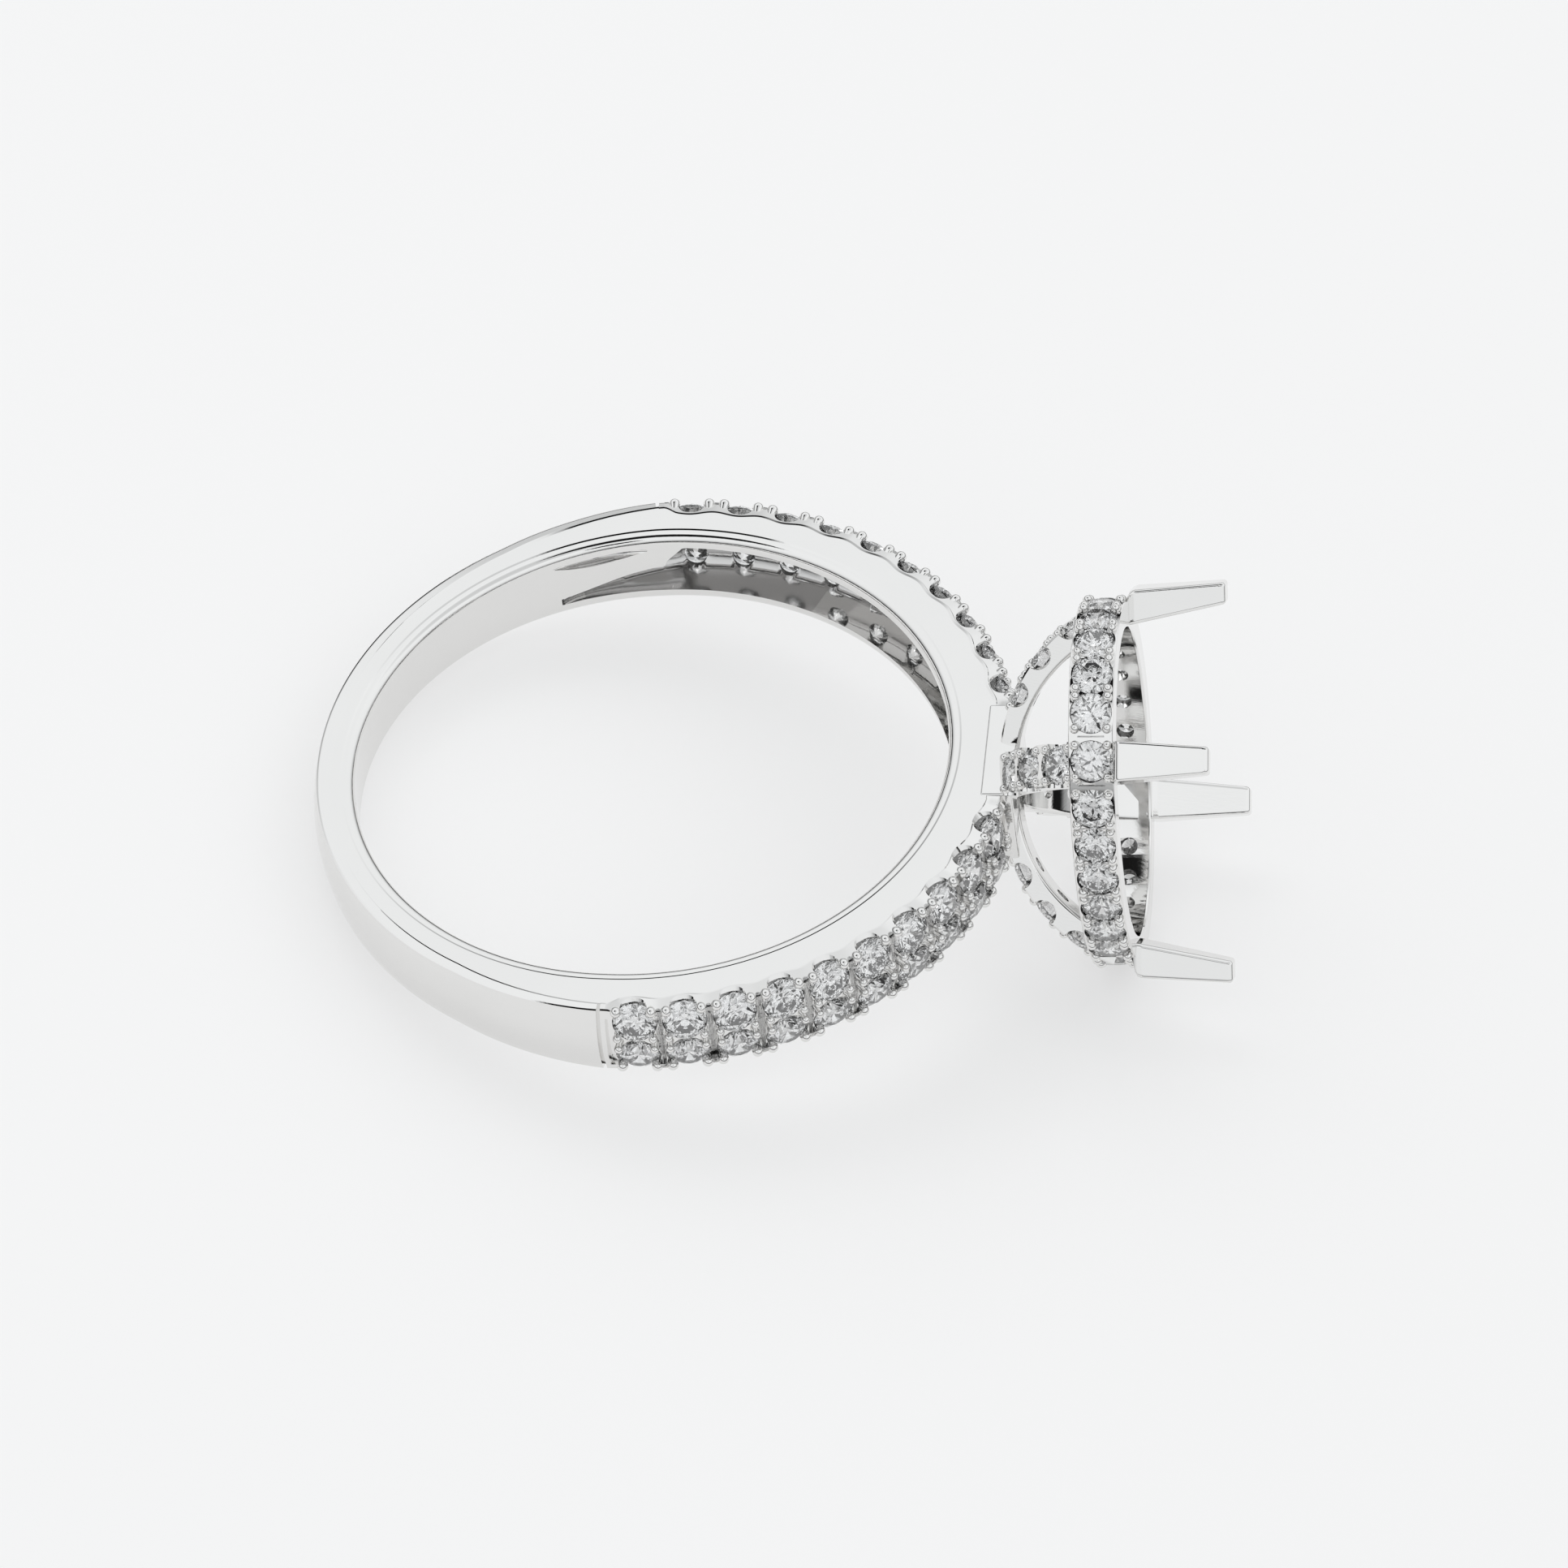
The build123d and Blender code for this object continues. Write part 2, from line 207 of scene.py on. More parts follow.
def mm(length):
    """A length of the panel, in millimetres."""
    return length * 1000.0


def dome_drop(height):
    """How far the outside of the band lies below its crown, at a height over the middle."""
    half = TOP_WIDTH / 2
    radius = (half**2 + DOME**2) / (2 * DOME)
    return radius - sqrt(radius**2 - height**2)


def half_width(x):
    """Half the band's width: it widens from the back to the shoulders, and less from there on."""
    waist_x = OUTER_SHIFT + OUTER_RADIUS * cos(radians(shoulder_end()))
    waist = TOP_WIDTH * WAIST_SHARE
    if x < waist_x:
        share = (x - BACK_X) / (waist_x - BACK_X)
        return (BACK_WIDTH + share * (waist - BACK_WIDTH)) / 2
    share = (x - waist_x) / (TOP_X - waist_x)
    return (waist + share * (TOP_WIDTH - waist)) / 2


def shoulder_last():
    """Angle from the head to a row's last stone, degrees."""
    return SHOULDER_START + (SHOULDER_COUNT - 1) * SHOULDER_STEP


def shoulder_end():
    """Angle from the head to the end of the stone set surface, degrees."""
    return shoulder_last() + RIB_END


def crown_radius(angle):
    """Radius of the band's outside at its crown: the plain band swells up to the shoulders."""
    far = abs(angle)
    if far < SHOULDER_FOOT:
        return OUTER_RADIUS
    if far < shoulder_end():
        return OUTER_RADIUS + SHOULDER_RISE
    towards = SWELL_START - 90
    shift = (SHOULDER_RISE + SWELL_LIP) / cos(radians(shoulder_end() - towards))
    turn = radians(far - towards)
    return max(OUTER_RADIUS, shift * cos(turn) + sqrt(OUTER_RADIUS**2 - (shift * sin(turn)) ** 2))


def smooth(share):
    """Eases a share from 0 to 1."""
    share = min(max(share, 0.0), 1.0)
    return share * share * (3 - 2 * share)


# Mesh tools


def skin(bm, rings, around=False):
    """Covers rings of points with faces; the ends are capped unless the rings go round."""
    rows = [[bm.verts.new(point) for point in ring] for ring in rings]
    size = len(rows[0])
    for i in range(len(rows) if around else len(rows) - 1):
        low, high = rows[i], rows[(i + 1) % len(rows)]
        for j in range(size):
            k = (j + 1) % size
            bm.faces.new((low[j], low[k], high[k], high[j]))
    if not around:
        bm.faces.new(list(reversed(rows[0])))
        bm.faces.new(rows[-1])


def turned(bm, profile, place, sides=32, stretch=1.0):
    """A turned piece: its profile's points are (radius, height) and its ends lie on the axis."""
    angles = [2 * pi * i / sides for i in range(sides)]
    first = bm.verts.new(place @ Vector((0, 0, profile[0][1])))
    last = bm.verts.new(place @ Vector((0, 0, profile[-1][1])))
    rows = []
    for radius, height in profile[1:-1]:
        ring = [Vector((radius * cos(a), radius * sin(a) * stretch, height)) for a in angles]
        rows.append([bm.verts.new(place @ point) for point in ring])
    for j in range(sides):
        k = (j + 1) % sides
        bm.faces.new((first, rows[0][k], rows[0][j]))
        bm.faces.new((last, rows[-1][j], rows[-1][k]))
        for low, high in zip(rows, rows[1:]):
            bm.faces.new((low[j], low[k], high[k], high[j]))


def prism(bm, outline, place, low, high, grow=1.0):
    """An outline drawn in x and y, drawn out along z; its far end is larger by a share."""
    near = [place @ Vector((x, y, low)) for x, y in outline]
    far = [place @ Vector((x * grow, y * grow, high)) for x, y in outline]
    skin(bm, [near, far])


def to_object(bm, name):
    """A Blender object from a mesh under way."""
    bmesh.ops.recalc_face_normals(bm, faces=bm.faces)
    mesh = bpy.data.meshes.new(name)
    bm.to_mesh(mesh)
    bm.free()
    piece = bpy.data.objects.new(name, mesh)
    bpy.context.scene.collection.objects.link(piece)
    return piece


def apply_modifiers(piece):
    """Puts the result of a piece's modifiers into its mesh."""
    graph = bpy.context.evaluated_depsgraph_get()
    mesh = bpy.data.meshes.new_from_object(piece.evaluated_get(graph))
    old = piece.data
    piece.modifiers.clear()
    piece.data = mesh
    mesh.name = piece.name
    bpy.data.meshes.remove(old)


def combine(piece, bm, operation="DIFFERENCE"):
    """Cuts a mesh under way out of a piece, or joins it to the piece."""
    other = to_object(bm, "tool")
    modifier = piece.modifiers.new("combine", "BOOLEAN")
    modifier.operation = operation
    modifier.solver = "MANIFOLD"
    modifier.object = other
    apply_modifiers(piece)
    mesh = other.data
    bpy.data.objects.remove(other)
    bpy.data.meshes.remove(mesh)


def finish_piece(piece, material, nodes, sharp=32.0, weighted=True):
    """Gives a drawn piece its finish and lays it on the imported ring."""
    piece.data.shade_smooth()
    piece.data.set_sharp_from_angle(angle=radians(sharp))
    piece.data.materials.clear()
    piece.data.materials.append(material)
    if weighted:
        modifier = piece.modifiers.new("flat faces", "WEIGHTED_NORMAL")
        modifier.keep_sharp = True
        modifier.weight = 100
        modifier.thresh = 0.0001
        apply_modifiers(piece)
    piece.data.transform(RING_PLACE)
    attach(piece, "root")
    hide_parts(*nodes)
    return piece


# Places


def shoulder_turn(angle):
    """Turns about the middle of the shank's outside."""
    return Matrix.Translation((OUTER_SHIFT, 0, 0)) @ Matrix.Rotation(radians(angle), 4, "Z")


def shoulder_seats(side):
    """Places of one shoulder's stones: z outwards, y along the row away from the head."""
    girdle = STONE_SINK + (CROWN_SHARE + GIRDLE_SHARE) * 1.2
    height = ROW_OFFSET + girdle * sin(radians(ROW_TILT))
    surface = OUTER_RADIUS + SHOULDER_RISE - dome_drop(height)
    seats = []
    for row in (1, -1):
        lean = Matrix.Rotation(radians(90 - row * ROW_TILT), 4, "Y")
        seat = Matrix.Translation((surface, 0, row * height)) @ lean
        for index in range(SHOULDER_COUNT):
            angle = side * (SHOULDER_START + index * SHOULDER_STEP)
            seats.append((shoulder_turn(angle) @ seat, row, index))
    return seats


def arc_through(first, middle, last):
    """Centre, radius, first angle and turn of the arc through three points."""
    (ax, ay), (bx, by), (cx, cy) = first, middle, last
    d = 2 * (ax * (by - cy) + bx * (cy - ay) + cx * (ay - by))
    a2, b2, c2 = ax * ax + ay * ay, bx * bx + by * by, cx * cx + cy * cy
    x = (a2 * (by - cy) + b2 * (cy - ay) + c2 * (ay - by)) / d
    y = (a2 * (cx - bx) + b2 * (ax - cx) + c2 * (bx - ax)) / d
    start = atan2(ay - y, ax - x)
    end = atan2(cy - y, cx - x)
    turn = (end - start + pi) % (2 * pi) - pi
    return Vector((x, y)), hypot(ax - x, ay - y), start, turn


def arm_curve(shares):
    """The arc of an arm's outer or inner side: out from the head's axis, and up."""
    points = []
    for out, up in shares:
        points.append((out * CROSSING_RADIUS, BASE_X + up * (HALO_X - BASE_X)))
    return arc_through(*points)


def on_arc(arc, share):
    """The point of an arc at a share of its length, and the direction along it."""
    centre, radius, start, turn = arc
    angle = start + share * turn
    sign = 1 if turn > 0 else -1
    point = centre + radius * Vector((cos(angle), sin(angle)))
    return point, Vector((-sin(angle), cos(angle))) * sign


def arm_frame(side_y, side_z):
    """The frame of one arm: x out from the head's axis, y up, z across the arm."""
    out = Vector((0, side_y * CROSSING_Y, side_z * CROSSING_Z)).normalized()
    up = Vector((1, 0, 0))
    across = out.cross(up)
    matrix = Matrix((out, up, across)).transposed().to_4x4()
    return matrix


ARM_FRAMES = [arm_frame(side_y, side_z) for side_y in (1, -1) for side_z in (1, -1)]


def arm_seats(arm):
    """Places of an arm's stones from the halo down: z outwards, y along the arm."""
    arc = arm_curve(ARM_OUTER)
    length = abs(arc[1] * arc[3])
    seats = []
    for index in range(1, ARM_COUNT + 1):
        point, along = on_arc(arc, 1 - index * ARM_PITCH / length)
        normal = Vector((along.y, -along.x, 0))
        local = Matrix((Vector((0, 0, 1)), normal.cross(Vector((0, 0, 1))), normal)).transposed()
        seats.append(arm @ Matrix.Translation((point.x, point.y, 0)) @ local.to_4x4())
    return seats


def oval(angle, inset=0.0):
    """A point of the halo's outline seen along the head: y and z."""
    return Vector((
        (HALO_WIDTH / 2 - inset) * cos(angle),
        (HALO_LENGTH / 2 - inset) * sin(angle),
    ))


def oval_normal(angle):
    """The direction straight out of the halo's outline: y and z."""
    return Vector((cos(angle) / HALO_WIDTH, sin(angle) / HALO_LENGTH)).normalized()


def halo_angles():
    """Angles of the halo's stones: one at each arm, and a row over each end and side."""
    samples = 400
    angles = []
    gaps = ((HALO_SIDE_COUNT, 0), (HALO_END_COUNT, 90), (HALO_SIDE_COUNT, 180), (HALO_END_COUNT, 270))
    for count, middle in gaps:
        turns = [radians(middle - 45 + 90 * i / samples) for i in range(samples + 1)]
        lengths = [0.0]
        for a, b in zip(turns, turns[1:]):
            lengths.append(lengths[-1] + (oval(b) - oval(a)).length)
        total = count - 1 + 2 * CROSSING_SHARE
        shares = [0.0] + [(CROSSING_SHARE + index) / total for index in range(count)]
        for share in shares:
            goal = share * lengths[-1]
            spot = next((i for i, far in enumerate(lengths) if far >= goal), samples)
            angles.append(turns[spot])
    return angles


def halo_seat(angle):
    """The place of a stone on the halo: z outwards, x up the head, y along the halo."""
    point = oval(angle)
    normal = oval_normal(angle)
    out = Vector((0, normal.x, normal.y))
    up = Vector((1, 0, 0))
    matrix = Matrix((up, out.cross(up), out)).transposed().to_4x4()
    return Matrix.Translation((HALO_X, point.x, point.y)) @ matrix


# Cutters and small parts


def seat_tool(bm, place, diameter, hole, depth):
    """What a stone's seat takes out of the metal."""
    radius = diameter / 2 + 0.015
    girdle = -STONE_SINK - (CROWN_SHARE + GIRDLE_SHARE) * diameter - 0.02
    slope = PAVILION_SHARE * 2
    low = girdle - slope * (radius - hole / 2)
    profile = ((0, 1.0), (radius, 1.0), (radius, girdle), (hole / 2, low), (hole / 2, -depth), (0, -depth))
    turned(bm, profile, place, sides=40)


def cut_stone(bm, place, diameter):
    """A round brilliant: 33 facets above its girdle and 24 below."""
    crown = CROWN_SHARE
    girdle = GIRDLE_SHARE
    table = TABLE_SHARE / 2
    star = 0.39
    star_height = crown * (0.5 - star * cos(pi / 8)) / (0.5 - table)
    half = 0.13
    half_drop = PAVILION_SHARE * (1 - half * cos(pi / 8) / 0.5)
    top = -STONE_SINK / diameter

    def ring(reach, height, shift, count=8):
        points = []
        for i in range(count):
            a = 2 * pi * (i + shift) / count
            points.append(Vector((reach * cos(a), reach * sin(a), height)))
        return [bm.verts.new(place @ (diameter * point)) for point in points]

    upper = top - crown
    lower = upper - girdle
    table_ring = ring(table, top, 0)
    star_ring = ring(star, upper + star_height, 0.5)
    high = ring(0.5, upper, 0, 16)
    low = ring(0.5, lower, 0, 16)
    halves = ring(half, lower - half_drop, 0.5)
    culet = bm.verts.new(place @ Vector((0, 0, diameter * (lower - PAVILION_SHARE))))
    bm.faces.new(table_ring)
    for i in range(8):
        j = (i + 1) % 8
        before = (i - 1) % 8
        bm.faces.new((table_ring[i], star_ring[i], table_ring[j]))
        bm.faces.new((table_ring[i], star_ring[before], high[2 * i], star_ring[i]))
        bm.faces.new((star_ring[i], high[2 * i], high[2 * i + 1]))
        bm.faces.new((star_ring[i], high[2 * i + 1], high[(2 * i + 2) % 16]))
        bm.faces.new((halves[i], low[2 * i + 1], low[2 * i]))
        bm.faces.new((halves[i], low[(2 * i + 2) % 16], low[2 * i + 1]))
        bm.faces.new((culet, halves[i], low[2 * i], halves[before]))
    for i in range(16):
        j = (i + 1) % 16
        bm.faces.new((high[i], low[i], low[j], high[j]))


def bead(bm, place, spot, radius, stem, lean=0.0, stretch=1.0):
    """A raised grain of metal beside a stone, on a short stem; spot is x, y and height over the seat."""
    x, y, height = spot
    turn = Matrix.Rotation(atan2(y, x), 4, "Z") @ Matrix.Rotation(radians(-lean), 4, "Y")
    local = place @ Matrix.Translation((x, y, height)) @ turn
    profile = [(0, -stem), (radius * 0.5, -stem), (radius * 0.72, -stem * 0.5)]
    for step in range(-1, 6):
        angle = radians(step * 17.0)
        profile.append((radius * cos(angle), radius * sin(angle) * 0.95))
    profile.append((0, radius * 0.95))
    turned(bm, profile, local, sides=14, stretch=stretch)


# Materials


def node(tree, kind, label, spot, **values):
    """Adds a node; values are set on its inputs by name."""
    item = tree.nodes.new(kind)
    item.label = label
    item.location = spot
    for key, value in values.items():
        item.inputs[key.replace("_", " ")].default_value = value
    return item


def polish_group():
    """Polishing marks that several metals share: a mask of soft patches and of fine hairlines."""
    name = "Polishing marks"
    if name in bpy.data.node_groups:
        return bpy.data.node_groups[name]
    tree = bpy.data.node_groups.new(name, "ShaderNodeTree")
    face = tree.interface
    face.new_socket(name="Patch size", in_out="INPUT", socket_type="NodeSocketFloat")
    face.new_socket(name="Hairline size", in_out="INPUT", socket_type="NodeSocketFloat")
    face.new_socket(name="Patches", in_out="OUTPUT", socket_type="NodeSocketFloat")
    face.new_socket(name="Hairlines", in_out="OUTPUT", socket_type="NodeSocketFloat")
    start = node(tree, "NodeGroupInput", "Sizes", (-800, 0))
    end = node(tree, "NodeGroupOutput", "Masks", (500, 0))
    place = node(tree, "ShaderNodeTexCoord", "Object space", (-800, -200))
    patches = node(tree, "ShaderNodeTexNoise", "Soft patches", (-400, 150), Detail=2.0)
    stretch = node(tree, "ShaderNodeMapping", "Along the band", (-600, -250))
    stretch.inputs["Scale"].default_value = (1.0, 1.0, 9.0)
    lines = node(tree, "ShaderNodeTexNoise", "Hairlines", (-400, -200), Detail=4.0, Roughness=0.6)
    link = tree.links.new
    link(place.outputs["Object"], patches.inputs["Vector"])
    link(place.outputs["Object"], stretch.inputs["Vector"])
    link(stretch.outputs["Vector"], lines.inputs["Vector"])
    link(start.outputs["Patch size"], patches.inputs["Scale"])
    link(start.outputs["Hairline size"], lines.inputs["Scale"])
    link(patches.outputs["Fac"], end.inputs["Patches"])
    link(lines.outputs["Fac"], end.inputs["Hairlines"])
    return tree


def white_gold(name, colour, roughness_low, roughness_high, bump):
    """White gold: bright, a little warm, with faint polishing marks."""
    material = bpy.data.materials.new(name)
    material.use_nodes = True
    tree = material.node_tree
    shader = tree.nodes["Principled BSDF"]
    shader.inputs["Metallic"].default_value = 1.0
    marks = node(tree, "ShaderNodeGroup", "Polishing marks", (-800, 0))
    marks.node_tree = polish_group()
    marks.inputs["Patch size"].default_value = 420.0
    marks.inputs["Hairline size"].default_value = 3000.0
    spread = node(tree, "ShaderNodeMapRange", "Roughness", (-450, 0))
    spread.inputs["To Min"].default_value = roughness_low
    spread.inputs["To Max"].default_value = roughness_high
    tint = node(tree, "ShaderNodeMix", "Alloy tint", (-450, 300))
    tint.data_type = "RGBA"
    tint.inputs["A"].default_value = (*colour, 1.0)
    tint.inputs["B"].default_value = (*[c * 0.97 for c in colour], 1.0)
    height = node(tree, "ShaderNodeBump", "Hairlines", (-450, -300), Strength=bump, Distance=0.00002)
    link = tree.links.new
    link(marks.outputs["Patches"], spread.inputs["Value"])
    link(marks.outputs["Patches"], tint.inputs["Factor"])
    link(marks.outputs["Hairlines"], height.inputs["Height"])
    link(tint.outputs["Result"], shader.inputs["Base Color"])
    link(spread.outputs["Result"], shader.inputs["Roughness"])
    link(height.outputs["Normal"], shader.inputs["Normal"])
    return material


def stone_material(name):
    """A clear cut stone, with the faintest clouds in it."""
    finish = bpy.context.scene.ring_finish
    material = bpy.data.materials.new(name)
    material.use_nodes = True
    tree = material.node_tree
    shader = tree.nodes["Principled BSDF"]
    shader.inputs["Metallic"].default_value = 0.0
    shader.inputs["Transmission Weight"].default_value = 0.95
    shader.inputs["IOR"].default_value = 2.42
    shader.inputs["Roughness"].default_value = 0.0
    clouds = node(tree, "ShaderNodeTexNoise", "Clouds", (-700, 0), Scale=900.0, Detail=2.0)
    place = node(tree, "ShaderNodeTexCoord", "Object space", (-900, 0))
    tint = node(tree, "ShaderNodeMix", "Clarity", (-400, 0))
    tint.data_type = "RGBA"
    tint.inputs["A"].default_value = (*finish.stone_colour, 1.0)
    tint.inputs["B"].default_value = (*[c * 0.98 for c in finish.stone_colour], 1.0)
    link = tree.links.new
    link(place.outputs["Object"], clouds.inputs["Vector"])
    link(clouds.outputs["Fac"], tint.inputs["Factor"])
    link(tint.outputs["Result"], shader.inputs["Base Color"])
    return material


def named_material(name, maker, *values):
    """A material of the scene, made the first time that it is asked for."""
    return bpy.data.materials.get(name) or maker(name, *values)


def metal():
    """The polished metal of every soldered part."""
    colour = bpy.context.scene.ring_finish.metal_colour
    return named_material("Polished white gold", white_gold, colour, 0.03, 0.06, 0.04)


def recess_metal_with_painted_shade():
    """The metal in the recesses: rougher, as no polishing tool reaches there, and darker in colour as
    painted shade.
    """
    colour = bpy.context.scene.ring_finish.painted_recess_shade_colour
    return named_material("Recess white gold with painted shade", white_gold, colour, 0.08, 0.16, 0.12)


def stones():
    """The stones' own material."""
    return named_material("Cut diamond", stone_material)


# Pieces


def side_line(far, crown):
    """Radius, depth and slope of the slanted band along the outer edge of a side face."""
    plain = crown - EDGE_DEPTH - BAND_WIDTH
    phase = (far - SHOULDER_START) / SHOULDER_STEP
    wave = WAVE_RADIUS - WAVE_HEIGHT * cos(2 * pi * phase)
    share = smooth((far - shoulder_last() - 2.2) / 2.4)
    foot = smooth((far - SHOULDER_FOOT) / 4.0)
    step = BAND_STEP * foot * smooth((120.0 - far) / 12.0)
    slope = BAND_SLOPE * foot * smooth((170.0 - far) / 50.0)
    return wave + share * (plain - wave), step, slope


def inner_side(turn, sign):
    """Points of the rounded inner edge, with the fine line along its start, from outside to bore."""
    points = []
    for out, down in INNER_STEPS:
        radius = BORE_RADIUS + INNER_ROUND + out
        points.append((radius, half_width(radius * cos(turn)) - down))
    for step in range(9):
        around = radians(90 * step / 8)
        radius = BORE_RADIUS + INNER_ROUND * (1 - sin(around))
        wide = half_width(radius * cos(turn)) - EDGE_LINE
        points.append((radius, wide - INNER_ROUND * (1 - cos(around))))
    return [Vector((radius * cos(turn), radius * sin(turn), sign * height)) for radius, height in points]


def shank_row(angle):
    """One cross section of the band, at an angle from the head, with the steps that it has there."""
    far = abs(angle)
    last = shoulder_last()
    crown = crown_radius(angle)
    bed = BED_DROP if SHOULDER_FOOT < far < last + RIB_START else 0.0
    groove = GROOVE_DEPTH if last + RIB_END < far < last + GROOVE_END else 0.0
    turn = radians(angle)
    wave, step, slope = side_line(far, crown)
    # The photograph shows the dark line of this step on the far shoulder only
    if angle < 0:
        step = 0.0
    wall = half_width(OUTER_SHIFT + wave * cos(turn))
    rim = crown - EDGE_DEPTH - groove
    half = wall - step - slope * (rim - wave) - OUTER_ROUND
    points = []
    for share in LANES:
        height = half * share
        drop = dome_drop(height) + groove + (bed if abs(share) < BED_LANE else 0.0)
        points.append((crown - drop, height))
    upper = []
    edge = points[0][0]
    for number in (1, 2):
        around = radians(45 * number)
        upper.append((edge - OUTER_ROUND * (1 - cos(around)), half + OUTER_ROUND * sin(around)))
    low = wave + WAVE_TOP
    for share in (0.85, 0.45, 0.0):
        radius = low + (upper[-1][0] - low) * share
        upper.append((radius, wall - step - slope * (radius - wave)))
    for out, down in WAVE_STEPS:
        upper.append((wave + out, wall - step * down))
    lower = [(radius, -height) for radius, height in upper]
    section = list(reversed(upper)) + points + lower
    spin = shoulder_turn(angle)
    outer = [spin @ Vector((radius, 0, height)) for radius, height in section]
    bore_turn = atan2(outer[0].y, outer[0].x)
    return outer + inner_side(bore_turn, -1) + list(reversed(inner_side(bore_turn, 1)))


def shank_angles():
    """Angles of the band's cross sections, with close pairs at its steps."""
    angles = [index * 0.5 for index in range(-360, 360)]
    gap = 0.03
    last = shoulder_last()
    for edge in (SHOULDER_FOOT, last + RIB_START, last + RIB_END, last + GROOVE_END):
        for side in (-1, 1):
            angles = [a for a in angles if abs(a - side * edge) > 0.12]
            angles += [side * edge - gap, side * edge + gap]
    return sorted(angles)


def band_sector(bm, section, first, last, steps):
    """A tool swept about the middle of the shank's outside; section gives its points at an angle."""
    rings = []
    for index in range(steps + 1):
        angle = first + (last - first) * index / steps
        spin = shoulder_turn(angle)
        rings.append([spin @ Vector((radius, 0, height)) for radius, height in section(angle)])
    skin(bm, rings)


def channel(low, high, top, corner):
    """A round cornered channel, open to the bore, between two heights: radius and height."""
    middle = (low + high) / 2
    corner = min(corner, (high - low) / 2, top - 8.0)
    points = []
    for step in range(6):
        around = radians(90 * step / 5)
        points.append((top - corner * (1 - sin(around)), high - corner * (1 - cos(around))))
    lower = [(radius, 2 * middle - height) for radius, height in reversed(points)]
    return [(7.6, low), (7.6, high)] + points + lower


def recess_tools(side):
    """The hollow inside a shoulder, and the two run out grooves at its end."""
    last = shoulder_last()

    def side_height(angle):
        return half_width(OUTER_SHIFT + 9.0 * cos(radians(angle))) - RAIL

    def hollow(angle):
        half = side_height(angle)
        near = smooth((abs(angle) - HOLLOW_START) / 5.0)
        end = (last + HOLLOW_END - abs(angle)) / HOLLOW_END
        top = 8.35 + (RECESS_RADIUS - 8.35) * min(near, smooth(end * 1.6))
        high = half * min(1.0, 0.1 + 1.1 * end)
        return channel(-half, high, top, RECESS_CORNER)

    def pocket(angle):
        share = (abs(angle) - last - POCKET_START) / POCKET_RUN
        half = side_height(angle)
        high = 0.18 - (0.73 + half - 0.55 - 0.22) * smooth(share * 0.92)
        bulge = sqrt(max(1 - share, 0.0))
        top = 8.42 + 0.30 * share + (RECESS_RADIUS - 8.42) * bulge * (1 - 0.35 * share)
        return channel(-half, max(high, 0.03 - half), top, POCKET_CORNER)

    def groove(angle):
        share = min(max((abs(angle) - last - RUNOUT_START) / RUNOUT_RUN, 0.0), 1.0)
        bulge = sin(pi * share**1.4)
        half = side_height(angle)
        wide = 0.02 + 0.30 * bulge
        return channel(half - wide, half + 0.02, 8.44 + 0.20 * share + 0.34 * bulge, RUNOUT_CORNER)

    tools = []
    for section, first, end, steps in (
        (hollow, HOLLOW_START, last + HOLLOW_END, 140),
        (pocket, last + POCKET_START, last + POCKET_START + POCKET_RUN, 60),
        (groove, last + RUNOUT_START, last + RUNOUT_END, 60),
    ):
        bm = bmesh.new()
        band_sector(bm, section, side * first, side * end, steps)
        tools.append(bm)
    return tools


def arch_outline():
    """The U shaped window beside a stone: x is outwards from its open end, y along the band."""
    half = ARCH_WIDTH / 2
    bend = []
    for step in range(9):
        around = radians(90 * step / 8)
        depth = ARCH_CORNER * (1 - sin(around)) - ARCH_REACH
        bend.append((depth, ARCH_CORNER * (1 - cos(around)) - half))
    points = [(0.4, half), (0.4, -half)] + bend + [(x, -y) for x, y in reversed(bend)]
    return [(x * (1 - ARCH_FLARE), y * (1 - ARCH_FLARE)) for x, y in points]


def slot_outline(width, pointed=1.0):
    """The saw cut between two stones with its round or pointed foot: x is outwards, y along the band."""
    half = width / 2
    points = [(1.0, half)]
    for step in range(-4, 5):
        around = radians(180 + step * 22.5)
        points.append((half * (1 + cos(around)) * pointed, -half * sin(around)))
    points.append((1.0, -half))
    return points


def shoulder_tools(side):
    """Groups of cutters for one shoulder; nothing overlaps within a group."""
    stone = mm(bpy.context.scene.ring_sizes.shoulder_stone)
    groups = [bmesh.new() for _ in range(6)]
    for seat, row, index in shoulder_seats(side):
        which = (index + (1 if row > 0 else 0)) % 2
        seat_tool(groups[which], seat, stone, CULET_HOLE, CULET_DEPTH)
    outline = arch_outline()
    flare = (1 + ARCH_FLARE) / (1 - ARCH_FLARE)
    for index in range(SHOULDER_COUNT):
        spin = shoulder_turn(side * (SHOULDER_START + index * SHOULDER_STEP))
        for face in (1, -1):
            turn = Matrix.Scale(face, 4, (0, 0, 1))
            place = spin @ Matrix.Translation((ARCH_RADIUS + ARCH_REACH, 0, 0)) @ turn
            prism(groups[2 + index % 2], outline, place, ARCH_START, ARCH_END, flare)
    for index in range(-1, SHOULDER_COUNT - 1):
        spin = shoulder_turn(side * (SHOULDER_START + (index + 0.5) * SHOULDER_STEP))
        slot = slot_outline(SLOT_WIDTH)
        prism(groups[4], slot, spin @ Matrix.Translation((SLOT_RADIUS, 0, 0)), -SLOT_REACH, SLOT_REACH)
        notch = slot_outline(NOTCH_WIDTH, NOTCH_POINT)
        prism(groups[5], notch, spin @ Matrix.Translation((NOTCH_RADIUS, 0, 0)), -NOTCH_REACH, NOTCH_REACH)
    return groups


def in_recess(spot):
    """Whether a point of the ring lies on the walls of a recess."""
    radius = hypot(spot.x, spot.y)
    far = abs(degrees(atan2(spot.y, spot.x - OUTER_SHIFT)))
    deep = hypot(spot.x - OUTER_SHIFT, spot.y)
    between = BORE_RADIUS + 0.12 < radius and deep < RECESS_RADIUS + 0.05
    return between and abs(spot.z) < 0.87 and 11.0 < far < 121.0


